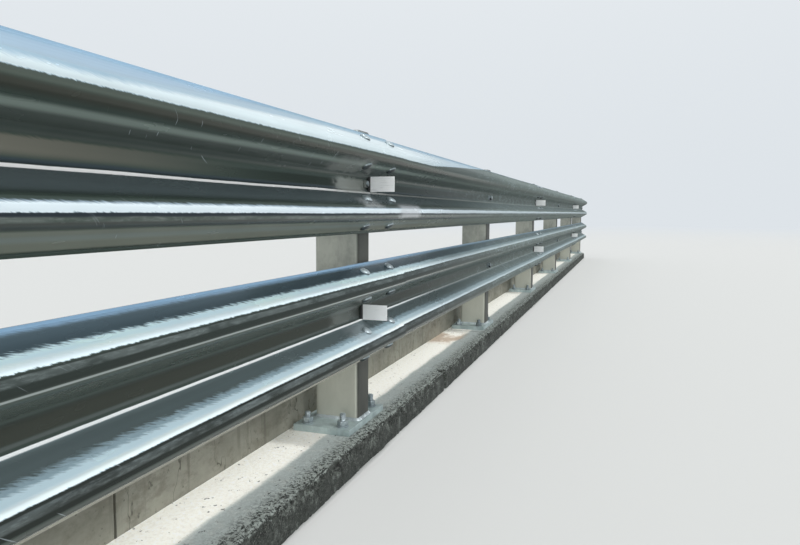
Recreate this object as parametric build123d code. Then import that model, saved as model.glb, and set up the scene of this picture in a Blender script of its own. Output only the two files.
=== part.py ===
"""Two-rail highway guardrail on box posts, bolted down to a concrete kerb with a low back wall.

X runs along the road, -Y faces the road and +Z is up.  The origin lies at mid-length, in the plane of
the posts' road faces, on the underside of the kerb.  All sizes are in millimetres.
"""
from build123d import *

import math
import os

# Bays and rail heights
BAY_COUNT = 6
POST_SPACING = 2000.0
KERB_HEIGHT = 90.0
LOWER_RAIL_CENTRE = 463.0
UPPER_RAIL_CENTRE = 866.0

# Two-wave rail section, sized on the middle of the sheet
SHEET_THICKNESS = 3.0
RAIL_HEIGHT = 310.0
RAIL_DEPTH = 85.0
SLOPE_ANGLE = 60.0
BEND_RADIUS = 24.0
VALLEY_CORNER = 26.0
CREST_FLAT = 4.0
LIP_LENGTH = 6.0
LIP_ANGLE = 10.0
LIP_RADIUS = 5.0

# Lapped splices
BAYS_PER_RAIL = 2
LAP_LENGTH = 320.0
NEST_CLEARANCE = 0.2
RAMP_LENGTH = 700.0
SPLICE_COLUMN_SPACING = 216.0
INNER_ROW = 51.0
OUTER_ROW = 131.0
SPLICE_HOLE_DIAMETER = 20.0
POST_BOLT_DIAMETER = 18.0
POST_SLOT_LENGTH = 38.0

# Box posts with their caps
POST_DEPTH = 150.0
POST_WIDTH = 100.0
POST_WALL = 6.0
POST_CORNER = 12.0
POST_RISE = 10.0
CAP_THICKNESS = 4.0
CAP_INSET = 2.0

# Base plates
PLATE_LENGTH = 300.0
PLATE_DEPTH = 190.0
PLATE_THICKNESS = 20.0
PLATE_ROAD_MARGIN = 12.0
ANCHOR_SPACING_ALONG = 238.0
ANCHOR_SPACING_ACROSS = 120.0
ANCHOR_HOLE_DIAMETER = 24.0

# Kerb and back wall
KERB_WIDTH = 256.0
KERB_ROAD_MARGIN = 60.0
KERB_CHAMFER = 8.0
KERB_END_MARGIN = 200.0
BAYS_PER_KERB = 2
KERB_JOINT_GAP = 6.0
KERB_JOINT_BEFORE_POST = 200.0
WALL_HEIGHT = 390.0
WALL_THICKNESS = 150.0
WALL_PANEL_COUNT = 6
WALL_FIRST_PANEL = 1290.0
WALL_JOINT_GAP = 8.0
WALL_CHAMFER = 10.0

# Delineators: a foot under the post bolt, a narrow stem and a broad face square to the road
DELINEATOR_THICKNESS = 2.0
DELINEATOR_HEIGHT = 48.0
DELINEATOR_REACH = 97.0
DELINEATOR_CLEARANCE = 5.0
DELINEATOR_FOOT = 25.0
UPPER_DELINEATOR_FACE = 15.0
LOWER_DELINEATOR_FACE = -48.0
DELINEATOR_FOOT_HEIGHT = 22.0
DELINEATOR_FOLD = 3.0

POST_STATIONS = [(i - BAY_COUNT / 2) * POST_SPACING for i in range(BAY_COUNT + 1)]
SPLICE_POSTS = range(1, BAY_COUNT, BAYS_PER_RAIL)
SLOPE = math.radians(SLOPE_ANGLE)
NEST_OFFSET = (SHEET_THICKNESS + NEST_CLEARANCE) / math.cos(SLOPE)
CREST_PLANE = RAIL_DEPTH - SHEET_THICKNESS / 2
VALLEY_PLANE = SHEET_THICKNESS / 2
SLOPE_RUN = (CREST_PLANE - VALLEY_PLANE) / math.tan(SLOPE)
CREST_OUTER = VALLEY_CORNER + SLOPE_RUN + 2 * BEND_RADIUS * math.tan(SLOPE / 2) + CREST_FLAT
PLATE_TOP = KERB_HEIGHT + PLATE_THICKNESS
POST_TOP = UPPER_RAIL_CENTRE + RAIL_HEIGHT / 2 + POST_RISE
KERB_BACK = KERB_WIDTH - KERB_ROAD_MARGIN
RUN_END = POST_STATIONS[-1] + KERB_END_MARGIN


def rail_corners():
    """Corner points of the sheet's middle line, as (depth, height), run out past both cut edges."""
    lip = math.radians(LIP_ANGLE)
    lip_height = RAIL_HEIGHT / 2 - LIP_LENGTH
    lip_depth = CREST_PLANE - (lip_height - CREST_OUTER) * math.tan(SLOPE)
    run_out = LIP_LENGTH + SHEET_THICKNESS
    upper_half = [
        (VALLEY_PLANE, VALLEY_CORNER),
        (CREST_PLANE, VALLEY_CORNER + SLOPE_RUN),
        (CREST_PLANE, CREST_OUTER),
        (lip_depth, lip_height),
        (lip_depth - run_out * math.tan(lip), lip_height + run_out),
    ]
    lower_half = [(depth, -height) for depth, height in reversed(upper_half)]
    return lower_half + upper_half


def rail_section(station, shift):
    """Closed outline of the sheet in the plane across the rail at a station, moved to the road by shift."""
    points = [(-(depth + shift), height) for depth, height in rail_corners()]
    radii = [LIP_RADIUS] + [BEND_RADIUS] * 6 + [LIP_RADIUS]
    middle = FilletPolyline(*points, radius=radii)
    outline = offset(middle, SHEET_THICKNESS / 2, side=Side.BOTH, closed=True)
    sheet = make_face(outline.edges()) & Rectangle(4 * RAIL_DEPTH, RAIL_HEIGHT)
    return Plane((station, 0, 0), x_dir=(0, 1, 0), z_dir=(1, 0, 0)) * sheet


def splice_rows(centre):
    """Depth, height and facing, up or down, of each of the four rows of splice holes."""
    inner_depth = VALLEY_PLANE + (INNER_ROW - VALLEY_CORNER) * math.tan(SLOPE)
    outer_depth = CREST_PLANE - (OUTER_ROW - CREST_OUTER) * math.tan(SLOPE)
    rows = []
    for side in (-1, 1):
        rows.append((inner_depth, centre + side * INNER_ROW, -side))
        rows.append((outer_depth, centre + side * OUTER_ROW, side))
    return rows


def splice_holes(station, centre):
    """Cylinders for the eight splice holes of a free rail end, square to the rail's four slopes."""
    cutters = []
    for depth, height, facing in splice_rows(centre):
        outward = (0, -math.cos(SLOPE), facing * math.sin(SLOPE))
        for column in (-1, 1):
            middle = (station + column * SPLICE_COLUMN_SPACING / 2, -depth, height)
            plane = Plane(origin=middle, z_dir=outward)
            cutters.append(plane * Cylinder(SPLICE_HOLE_DIAMETER / 2, 4 * SHEET_THICKNESS))
    return cutters


def post_slot(station, centre):
    """Slot in the valley for the bolt that holds the rail to a post."""
    plane = Plane(origin=(station, 0, centre), x_dir=(1, 0, 0), z_dir=(0, -1, 0))
    outline = SlotOverall(POST_SLOT_LENGTH, POST_BOLT_DIAMETER)
    return extrude(plane * outline, amount=RAIL_DEPTH / 2, both=True)


def rail(first_post, last_post, centre):
    """One rail between two posts, its far end eased towards the road to lap over the next rail."""
    start = POST_STATIONS[first_post] - LAP_LENGTH / 2
    end = POST_STATIONS[last_post] + LAP_LENGTH / 2
    laps_next = last_post < BAY_COUNT
    shift = NEST_OFFSET if laps_next else 0
    ramp_end = end - LAP_LENGTH
    stations = [(start, 0), (ramp_end - RAMP_LENGTH, 0), (ramp_end, shift), (end, shift)]
    if not laps_next:
        stations = [(start, 0), (end, 0)]
    body = loft([rail_section(x, y) for x, y in stations], ruled=True)
    body = Pos(0, 0, centre) * body
    cutters = [post_slot(station, centre) for station in POST_STATIONS[first_post : last_post + 1]]
    if first_post == 0:
        cutters += splice_holes(POST_STATIONS[0], centre)
    if not laps_next:
        cutters += splice_holes(POST_STATIONS[-1], centre)
    return body - cutters


def post_holes(station):
    """Through holes for the two rail bolts of a post."""
    holes = []
    for centre in (LOWER_RAIL_CENTRE, UPPER_RAIL_CENTRE):
        plane = Plane(origin=(station, POST_DEPTH / 2, centre), z_dir=(0, -1, 0))
        holes.append(plane * Cylinder(POST_BOLT_DIAMETER / 2, 2 * POST_DEPTH))
    return holes


def post(station):
    """Rectangular hollow post standing on its base plate, its road face in the plane y = 0."""
    height = POST_TOP - CAP_THICKNESS - PLATE_TOP
    plane = Plane((station, POST_DEPTH / 2, PLATE_TOP))
    outer = RectangleRounded(POST_WIDTH, POST_DEPTH, POST_CORNER)
    inner_width = POST_WIDTH - 2 * POST_WALL
    inner_depth = POST_DEPTH - 2 * POST_WALL
    inner = RectangleRounded(inner_width, inner_depth, POST_CORNER - POST_WALL)
    return extrude(plane * (outer - inner), amount=height) - post_holes(station)


def post_cap(station):
    """Flat plate that closes the top of a post, a little smaller than the post."""
    plane = Plane((station, POST_DEPTH / 2, POST_TOP - CAP_THICKNESS))
    width = POST_WIDTH - 2 * CAP_INSET
    depth = POST_DEPTH - 2 * CAP_INSET
    return extrude(plane * RectangleRounded(width, depth, POST_CORNER - CAP_INSET), amount=CAP_THICKNESS)


def base_plate(station):
    """Plate under a post, with four anchor holes."""
    middle = PLATE_DEPTH / 2 - PLATE_ROAD_MARGIN
    plane = Plane((station, middle, KERB_HEIGHT))
    outline = Rectangle(PLATE_LENGTH, PLATE_DEPTH)
    spots = GridLocations(ANCHOR_SPACING_ALONG, ANCHOR_SPACING_ACROSS, 2, 2)
    holes = [spot * Circle(ANCHOR_HOLE_DIAMETER / 2) for spot in spots]
    return extrude(plane * (outline - holes), amount=PLATE_THICKNESS)


def stretches(joints, gap):
    """Start and end of each length between joints, from one end of the run to the other."""
    starts = [-RUN_END] + [joint + gap / 2 for joint in joints]
    ends = [joint - gap / 2 for joint in joints] + [RUN_END]
    return list(zip(starts, ends))


def kerb_length(start, end):
    """One length of kerb, its road-side top edge chamfered."""
    block = Box(end - start, KERB_WIDTH, KERB_HEIGHT, align=(Align.MIN, Align.MIN, Align.MIN))
    block = Pos(start, -KERB_ROAD_MARGIN, 0) * block
    arris = block.edges().filter_by(Axis.X).group_by(Axis.Z)[-1].sort_by(Axis.Y)[0]
    return chamfer(arris, KERB_CHAMFER)


def wall_panel(start, end):
    """One panel of the low wall that stands against the kerb's back, its top edges chamfered."""
    block = Box(end - start, WALL_THICKNESS, WALL_HEIGHT, align=(Align.MIN, Align.MIN, Align.MIN))
    block = Pos(start, KERB_BACK, 0) * block
    top_edges = block.edges().filter_by(Axis.X).group_by(Axis.Z)[-1]
    return chamfer(top_edges, WALL_CHAMFER)


def delineator(station, centre, face_place):
    """Folded plate: a foot in the valley under the post bolt and a face that stands square to the road."""
    half = DELINEATOR_THICKNESS / 2
    foot_depth = NEST_OFFSET + SHEET_THICKNESS + half
    foot_end = DELINEATOR_FOOT
    if face_place > 0:
        foot_end = -DELINEATOR_FOOT
    path = FilletPolyline(
        (foot_end, -foot_depth),
        (face_place, -foot_depth),
        (face_place, -DELINEATOR_REACH),
        radius=DELINEATOR_FOLD,
    )
    strip = make_face(offset(path, half, side=Side.BOTH, closed=True).edges())
    strip &= Rectangle(4 * DELINEATOR_REACH, 2 * DELINEATOR_REACH)
    strip = extrude(Plane((station, 0, centre)) * strip, amount=DELINEATOR_FOOT_HEIGHT / 2, both=True)
    face_start = NEST_OFFSET + SHEET_THICKNESS + DELINEATOR_CLEARANCE
    face_middle = (station + face_place, -(face_start + DELINEATOR_REACH) / 2, centre)
    face_plane = Plane(origin=face_middle, x_dir=(0, 1, 0), z_dir=(1, 0, 0))
    face_outline = Rectangle(DELINEATOR_REACH - face_start, DELINEATOR_HEIGHT)
    face = extrude(face_plane * face_outline, amount=half, both=True)
    bolt_plane = Plane(origin=(station, 0, centre), z_dir=(0, -1, 0))
    bolt_hole = extrude(bolt_plane * Circle(POST_BOLT_DIAMETER / 2), amount=RAIL_DEPTH / 2)
    return strip + face - bolt_hole


def rail_spans():
    """First and last post of each rail in a tier."""
    splices = list(SPLICE_POSTS)
    return list(zip([0] + splices, splices + [BAY_COUNT]))


def main():
    """Build every piece and write it to its own file."""
    pieces = {}
    tiers = {
        "lower": (LOWER_RAIL_CENTRE, LOWER_DELINEATOR_FACE),
        "upper": (UPPER_RAIL_CENTRE, UPPER_DELINEATOR_FACE),
    }
    for tier, (centre, face_place) in tiers.items():
        for number, (first_post, last_post) in enumerate(rail_spans(), start=1):
            pieces[f"{tier}_rail_{number}"] = rail(first_post, last_post, centre)
        for number, index in enumerate(SPLICE_POSTS, start=1):
            pieces[f"{tier}_delineator_{number}"] = delineator(POST_STATIONS[index], centre, face_place)
    for number, station in enumerate(POST_STATIONS, start=1):
        pieces[f"post_{number}"] = post(station)
        pieces[f"post_cap_{number}"] = post_cap(station)
        pieces[f"base_plate_{number}"] = base_plate(station)
    kerb_posts = POST_STATIONS[BAYS_PER_KERB:-1:BAYS_PER_KERB]
    kerb_joints = [station - KERB_JOINT_BEFORE_POST for station in kerb_posts]
    for number, (start, end) in enumerate(stretches(kerb_joints, KERB_JOINT_GAP), start=1):
        pieces[f"kerb_{number}"] = kerb_length(start, end)
    first_joint = WALL_FIRST_PANEL - RUN_END
    panel_pitch = (RUN_END - first_joint) / (WALL_PANEL_COUNT - 1)
    wall_joints = [first_joint + panel_pitch * i for i in range(WALL_PANEL_COUNT - 1)]
    for number, (start, end) in enumerate(stretches(wall_joints, WALL_JOINT_GAP), start=1):
        pieces[f"back_wall_{number}"] = wall_panel(start, end)
    os.makedirs("parts", exist_ok=True)
    for name, piece in pieces.items():
        export_step(piece, f"parts/{name}.step")


if __name__ == "__main__":
    main()
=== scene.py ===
"""Looks of a two-rail highway guardrail: zinc-coated rails and box posts on a cast kerb and low wall.

All sizes are in metres.  X runs along the rails, -Y is the front and +Z is up.
"""
import logging
import math
from dataclasses import dataclass
from enum import Enum
from typing import Any

import bpy
import numpy as np
from mathutils import Matrix, Vector


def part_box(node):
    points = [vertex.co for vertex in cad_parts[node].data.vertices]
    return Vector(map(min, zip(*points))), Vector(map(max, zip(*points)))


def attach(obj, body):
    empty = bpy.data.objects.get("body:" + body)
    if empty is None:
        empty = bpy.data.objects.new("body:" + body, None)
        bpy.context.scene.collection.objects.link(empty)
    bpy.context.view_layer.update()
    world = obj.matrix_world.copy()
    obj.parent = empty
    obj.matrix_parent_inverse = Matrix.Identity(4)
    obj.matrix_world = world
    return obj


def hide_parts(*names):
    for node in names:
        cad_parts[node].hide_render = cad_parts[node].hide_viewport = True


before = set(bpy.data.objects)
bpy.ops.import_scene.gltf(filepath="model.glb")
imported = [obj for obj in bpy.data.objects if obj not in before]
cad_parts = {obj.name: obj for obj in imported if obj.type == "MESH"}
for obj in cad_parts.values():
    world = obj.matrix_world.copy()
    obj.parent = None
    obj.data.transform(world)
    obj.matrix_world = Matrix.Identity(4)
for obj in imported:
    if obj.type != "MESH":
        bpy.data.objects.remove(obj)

LOG = logging.getLogger("guardrail")
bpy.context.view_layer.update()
BODY = "root"
MM = 0.001

# Places read from the frame
POST_NAMES = sorted(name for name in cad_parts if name.startswith("post_") and "cap" not in name)
STATIONS = [sum(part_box(name)[i].x for i in range(2)) / 2 for name in POST_NAMES]
SPLICE_STATIONS = STATIONS[1:-1:2]
POST_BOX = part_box(POST_NAMES[0])
POST_FRONT = POST_BOX[0].y
POST_BACK = POST_BOX[1].y
POST_WIDTH = POST_BOX[1].x - POST_BOX[0].x
CAP_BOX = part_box("post_cap_1")
PLATE_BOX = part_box("base_plate_1")
PLATE_TOP = PLATE_BOX[1].z

# Rail section and splice pattern, as in the steel itself
SHEET = 3.0 * MM
NEST_STEP = 6.4 * MM
SLOPE = math.radians(60.0)
INNER_ROW = 51.0 * MM
OUTER_ROW = 131.0 * MM
INNER_DEPTH = 44.8 * MM
OUTER_DEPTH = 38.6 * MM
SPLICE_COLUMNS = 216.0 * MM
ANCHORS_ALONG = 238.0 * MM
ANCHORS_ACROSS = 120.0 * MM
DELINEATOR_SHEET = 2.0 * MM

# Bolts that hold the rails
BOLT_RADIUS = 8.0 * MM
BOLT_PITCH = 2.0 * MM
NUT_ACROSS = 24.0 * MM
NUT_HEIGHT = 13.0 * MM
WASHER_THICKNESS = 3.0 * MM

# How finely round shapes are cut
HEAD_SIDES = 28
WASHER_SIDES = 32
NUT_SIDES = 48
THREAD_SIDES = 16
CROWN_STEPS = 9
CORNER_STEPS = 7

# Directions
TO_FRONT = (0.0, -1.0, 0.0)
TO_BACK = (0.0, 1.0, 0.0)
UPWARD = (0.0, 0.0, 1.0)

Colour = tuple[float, float, float, float]
Triple = tuple[float, float, float]


class Tier(Enum):
    """The two rails, one over the other, by the height of their centre line."""

    UPPER = "upper"
    LOWER = "lower"

    @property
    def centre(self) -> float:
        """Height of the tier's centre line."""
        low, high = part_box(f"{self.value}_rail_1")
        return (low.z + high.z) / 2


def paint(red: float, green: float, blue: float) -> Colour:
    """Linear colour of a display colour.

    Args:
        red: Red part from 0 to 255.
        green: Green part.
        blue: Blue part.

    Returns:
        The linear parts and 1 for opaque.
    """
    share = np.array([red, green, blue]) / 255.0
    linear = np.where(share <= 0.04045, share / 12.92, ((share + 0.055) / 1.055) ** 2.4)
    return (float(linear[0]), float(linear[1]), float(linear[2]), 1.0)


class Field:
    """One output socket of a node tree.  Arithmetic on it adds Math nodes."""

    def __init__(self, painter: "Painter", socket: Any) -> None:
        """Keeps the socket and the tree that it belongs to."""
        self.painter = painter
        self.socket = socket

    def maths(self, operation: str, *values: Any) -> "Field":
        """Result of a Math node on the given values or fields."""
        return self.painter.node("ShaderNodeMath", {"operation": operation}, dict(enumerate(values)))

    def __add__(self, other: Any) -> "Field":
        """Sum of two values."""
        return self.maths("ADD", self, other)

    __radd__ = __add__

    def __sub__(self, other: Any) -> "Field":
        """Difference of two values."""
        return self.maths("SUBTRACT", self, other)

    def __rsub__(self, other: Any) -> "Field":
        """Difference of two values, the other one first."""
        return self.maths("SUBTRACT", other, self)

    def __mul__(self, other: Any) -> "Field":
        """Product of two values."""
        return self.maths("MULTIPLY", self, other)

    __rmul__ = __mul__

    def __abs__(self) -> "Field":
        """Size of the value without its sign."""
        return self.maths("ABSOLUTE", self)

    def at_most(self, other: Any) -> "Field":
        """The smaller of two values."""
        return self.maths("MINIMUM", self, other)

    def at_least(self, other: Any) -> "Field":
        """The larger of two values."""
        return self.maths("MAXIMUM", self, other)

    def rise(self, low: Any, high: Any) -> "Field":
        """Eases from 0 at low to 1 at high."""
        settings = {"interpolation_type": "SMOOTHSTEP"}
        return self.painter.node("ShaderNodeMapRange", settings, {0: self, 1: low, 2: high, 3: 0.0, 4: 1.0})

    def band(self, low: float, high: float, fade_low: float, fade_high: float) -> "Field":
        """1 between low and high, easing to 0 over each border's fade."""
        beyond = self.rise(high - fade_high / 2, high + fade_high / 2)
        return self.rise(low - fade_low / 2, low + fade_low / 2) * (1.0 - beyond)


class Painter:
    """Adds nodes to one tree, and knows the few patterns that the finishes share."""

    def __init__(self, tree: bpy.types.NodeTree) -> None:
        """Keeps the tree."""
        self.tree = tree

    def node(self, kind: str, settings: dict[str, Any], inputs: dict[Any, Any], output: Any = 0) -> Field:
        """Adds a node.

        Args:
            kind: The node's type.
            settings: Its own settings, such as a Math node's operation, set first.
            inputs: Values or fields for its sockets, by number or name.
            output: Number or name of the socket that is returned.

        Returns:
            The output as a field.
        """
        made = self.tree.nodes.new(kind)
        for key, setting in settings.items():
            setattr(made, key, setting)
        for key, given in inputs.items():
            if isinstance(given, Field):
                self.tree.links.new(given.socket, made.inputs[key])
            else:
                made.inputs[key].default_value = given
        return Field(self, made.outputs[output])

    def blend(self, factor: Any, first: Any, second: Any) -> Field:
        """Colour between two colours, the second where the factor is 1."""
        settings = {"data_type": "RGBA"}
        return self.node("ShaderNodeMix", settings, {0: factor, 6: first, 7: second}, 2)

    def tinted(self, colour: Any, amount: Any) -> Field:
        """Colour made darker or lighter by a factor, never past a clean white."""
        scaled = self.node("ShaderNodeVectorMath", {"operation": "SCALE"}, {0: colour, "Scale": amount})
        return self.node("ShaderNodeVectorMath", {"operation": "MINIMUM"}, {0: scaled, 1: (0.94, 0.94, 0.94)})

    def layered(self, colour: Any, *coats: tuple[Any, Colour]) -> Any:
        """Colour under several coats, each a mask and its colour, laid on in turn.

        Args:
            colour: The colour underneath.
            coats: Masks and colours, the lowest coat first.

        Returns:
            The colour on top.
        """
        for mask, tone in coats:
            colour = self.blend(mask, colour, tone)
        return colour

    def place(self) -> Field:
        """Object coordinates, which are the frame's own."""
        return self.node("ShaderNodeTexCoord", {}, {}, "Object")

    def along(self, axis: str) -> Field:
        """One Object coordinate in metres, X, Y or Z."""
        return self.node("ShaderNodeSeparateXYZ", {}, {0: self.place()}, axis)

    def facing(self, axis: str) -> Field:
        """One part of the surface's normal, X, Y or Z."""
        normal = self.node("ShaderNodeNewGeometry", {}, {}, "Normal")
        return self.node("ShaderNodeSeparateXYZ", {}, {0: normal}, axis)

    def scaled(self, grain: float | Triple, slide: Any) -> Field:
        """Object coordinates moved by a slide, then multiplied by a grain in waves per metre.

        Args:
            grain: Waves per metre, one number or one for each of X, Y and Z.
            slide: How far the coordinates are moved first, a triple or a field.

        Returns:
            The coordinates that a pattern reads.
        """
        waves = grain if isinstance(grain, tuple) else (grain, grain, grain)
        moved = self.node("ShaderNodeVectorMath", {"operation": "ADD"}, {0: self.place(), 1: slide})
        return self.node("ShaderNodeVectorMath", {"operation": "MULTIPLY"}, {0: moved, 1: waves})

    def noise(
        self,
        grain: float | Triple,
        detail: float = 3.0,
        rough: float = 0.5,
        shift: float = 0.0,
        lean: float = 0.0,
    ) -> Field:
        """Cloudy noise from about 0.2 to 0.8.

        Args:
            grain: Waves per metre, one number or one for each of X, Y and Z.
            detail: How many finer layers are added.
            rough: Strength of the finer layers.
            shift: Moves the pattern, so that two of one grain differ.
            lean: How far the pattern slides along X for each metre up.

        Returns:
            The noise value.
        """
        slide: Any = (shift, shift, shift)
        if lean:
            slide = self.node("ShaderNodeCombineXYZ", {}, {0: self.along("Z") * -lean + shift, 1: shift, 2: shift})
        sockets = {"Vector": self.scaled(grain, slide), "Scale": 1.0, "Detail": detail, "Roughness": rough}
        return self.node("ShaderNodeTexNoise", {"noise_dimensions": "3D"}, sockets)

    def cells(self, grain: float | Triple, shift: float = 0.0, output: str = "Distance") -> Field:
        """Cell pattern: the distance to the nearest of scattered points, or each cell's colour."""
        sockets = {"Vector": self.scaled(grain, (shift, shift, shift)), "Scale": 1.0}
        return self.node("ShaderNodeTexVoronoi", {"feature": "F1"}, sockets, output)

    def bump(self, height: Any, depth: float, strength: float = 1.0) -> Field:
        """Normal that is tilted by a height pattern of the given depth in metres."""
        return self.node("ShaderNodeBump", {}, {"Height": height, "Distance": depth, "Strength": strength}, "Normal")


class Coat(Painter):
    """A material with one main shader, and the painter of its nodes."""

    def __init__(self, name: str) -> None:
        """Makes the material with an empty Principled shader.

        Args:
            name: The material's name.
        """
        self.material = bpy.data.materials.new(name)
        self.material.use_nodes = True
        super().__init__(self.material.node_tree)
        self.shader = self.tree.nodes["Principled BSDF"]

    def feed(self, socket: str, given: Any) -> None:
        """Sets or links one socket of the shader.

        Args:
            socket: The socket's name.
            given: A value or a field.
        """
        if isinstance(given, Field):
            self.tree.links.new(given.socket, self.shader.inputs[socket])
        else:
            self.shader.inputs[socket].default_value = given


class RailPatterns:
    """What the bands and patches of one tier read: the place, the height in millimetres and noises.

    Places are in metres along X: the near end of the rail, where the rising borders stop, where the lifted
    ones start and stop, and the length over which a band fades.
    """

    near_end: float = -5.2
    climb_end: float = -4.3
    lift_start: float = -3.5
    lift_end: float = -2.2
    ease: float = 0.9

    def __init__(self, painter: Painter, tier: Tier) -> None:
        """Makes the nodes that all bands share.

        Args:
            painter: Painter of the rail's material.
            tier: The rail.
        """
        self.along = painter.along("X")
        self.height = (painter.along("Z") - tier.centre) * 1000.0
        self.climbed = self.along.at_least(self.near_end).at_most(self.climb_end) - self.near_end
        self.lifted = self.along.at_least(self.lift_start).at_most(self.lift_end) - self.lift_start
        self.fray = painter.noise((150.0, 90.0, 90.0), rough=0.6, lean=-3.2) - 0.5
        self.tick = painter.noise((130.0, 80.0, 80.0), rough=0.65, shift=3.0, lean=-1.5) - 0.5
        self.cloud = painter.noise((2.5, 9.0, 9.0), detail=4.0, rough=0.6, shift=7.0) - 0.5
        self.worn = painter.noise((30.0, 60.0, 60.0), detail=4.0, rough=0.6, shift=23.0) - 0.5
        spots = painter.noise((34.0, 170.0, 170.0), detail=4.0, rough=0.7, shift=21.0, lean=-0.6)
        self.spots = spots.rise(0.44, 0.70)
        self.strewn = painter.noise((9.0, 20.0, 20.0), rough=0.6, shift=27.0).rise(0.40, 0.62)
        self.speckle = self.spots * 0.3 + self.strewn * 0.25 + 0.1
        self.fades: dict[float, Field] = {}

    def past(self, end: float) -> Field:
        """Fade along the rail, made once for each place.

        Args:
            end: The place, in metres along X.

        Returns:
            0 well before the place and 1 past it.
        """
        if end not in self.fades:
            self.fades[end] = self.along.rise(end - self.ease, end)
        return self.fades[end]


@dataclass(frozen=True)
class ReflectionBand:
    """One band of painted reflection that runs along a rail: light bands are painted highlights, dark ones painted
    reflections of dark surroundings.

    low and high are heights over the rail's centre line in millimetres, fade_low and fade_high how softly
    the borders fade, ragged how far the upper border is frayed, ticks how far the lower one is nicked, tone
    its colour, gloss how much shinier it is, climb how many millimetres its upper border rises for each
    metre along the first bay, lift how many its lower border rises for each metre past the first splice,
    share what is left of it past the place end, and start the place where it sets in over twice the length
    set_in, all three in metres.
    A speckled band is broken up into small spots.
    """

    low: float
    high: float
    tone: Colour
    fade_low: float = 2.0
    fade_high: float = 2.0
    ragged: float = 0.0
    ticks: float = 0.0
    gloss: float = 0.0
    climb: float = 0.0
    lift: float = 0.0
    share: float = 1.0
    end: float = -3.0
    start: float = -9.0
    speckled: bool = False
    set_in: float = 0.3

    def mask(self, rail: RailPatterns) -> Field:
        """Builds the band's mask.

        Args:
            rail: The patterns of the tier that the band lies on.

        Returns:
            1 inside the band and 0 outside, with its frayed borders, its fades along the rail and its spots.
        """
        lower, upper = rail.height + rail.cloud * 3.0, rail.height + rail.cloud * 5.0
        if self.ticks:
            lower = lower + rail.tick * (4.0 * self.ticks)
        if self.lift:
            lower = lower - rail.lifted * self.lift
        if self.ragged:
            upper = upper + rail.fray * (4.0 * self.ragged)
        if self.climb:
            upper = upper - rail.climbed * self.climb
        mask = lower.rise(self.low - self.fade_low / 2, self.low + self.fade_low / 2)
        mask = mask * (1.0 - upper.rise(self.high - self.fade_high / 2, self.high + self.fade_high / 2))
        if self.share < 1.0:
            mask = mask * (1.0 - rail.past(self.end) * (1.0 - self.share))
        if self.start > rail.near_end:
            mask = mask * rail.along.rise(self.start - self.set_in, self.start + self.set_in)
        return mask * rail.speckle if self.speckled else mask


# Painted reflections on the upper rail's front; the first band is the dark tone of mirrored surroundings.
UPPER_REFLECTION_BANDS = (
    ReflectionBand(-160.0, 170.0, paint(64, 76, 70)),
    ReflectionBand(78.0, 100.0, paint(88, 97, 90), 8.0, 4.0, lift=30.0, share=0.6),
    ReflectionBand(88.5, 170.0, paint(156, 187, 210), 3.0, 4.0, ticks=1.5, gloss=0.6, lift=50.0, share=0.8),
    ReflectionBand(
        88.5, 116.0, paint(153, 181, 198), 3.0, 14.0,
        ragged=3.0, ticks=1.5, gloss=0.8, climb=60.0, lift=50.0, share=0.6,
    ),
    ReflectionBand(
        88.5, 103.0, paint(210, 224, 228), 3.0, 12.0,
        ragged=3.0, ticks=1.5, gloss=1.0, climb=40.0, lift=50.0, share=0.4,
    ),
    ReflectionBand(62.0, 76.0, paint(62, 65, 58), 10.0, 8.0, share=0.6),
    ReflectionBand(18.0, 47.0, paint(72, 81, 77), 10.0, 6.0, share=0.5),
    ReflectionBand(46.5, 55.0, paint(134, 147, 140), 7.0, 7.0, share=0.4),
    ReflectionBand(-12.0, 14.0, paint(118, 116, 105), 14.0, 6.0, ragged=2.0, share=0.0, end=-4.6),
    ReflectionBand(-20.0, 6.0, paint(36, 46, 38), 4.0, 6.0, start=-4.7),
    ReflectionBand(-24.0, -17.0, paint(56, 67, 72), 3.0, 6.0, share=0.6),
    ReflectionBand(-62.0, -31.0, paint(108, 122, 125), 14.0, 4.0, share=0.7),
    ReflectionBand(-31.0, -25.3, paint(252, 253, 253), 1.5, 1.5, gloss=1.0, share=0.25, end=-3.6),
    ReflectionBand(-92.5, -75.5, paint(148, 165, 178), 2.0, 4.0, ragged=2.0, ticks=2.6, gloss=0.6, share=0.5),
    ReflectionBand(-91.5, -78.0, paint(220, 233, 239), 2.0, 4.0, ragged=1.5, ticks=2.6, gloss=1.0, share=0.7),
    ReflectionBand(-98.0, -92.0, paint(48, 56, 62), 3.0, 1.5, share=0.6),
    ReflectionBand(-108.0, -97.5, paint(136, 143, 140), 4.0, 3.0, share=0.6, speckled=True),
    ReflectionBand(-114.0, -105.0, paint(66, 71, 68), 3.0, 4.0, share=0.7),
    ReflectionBand(-146.0, -116.0, paint(120, 126, 116), 4.0, 4.0),
    ReflectionBand(-132.0, -123.0, paint(124, 134, 130), 6.0, 6.0, share=0.4),
)

# Painted reflections on the lower rail's front; the first band is the dark tone of mirrored surroundings.
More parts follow.
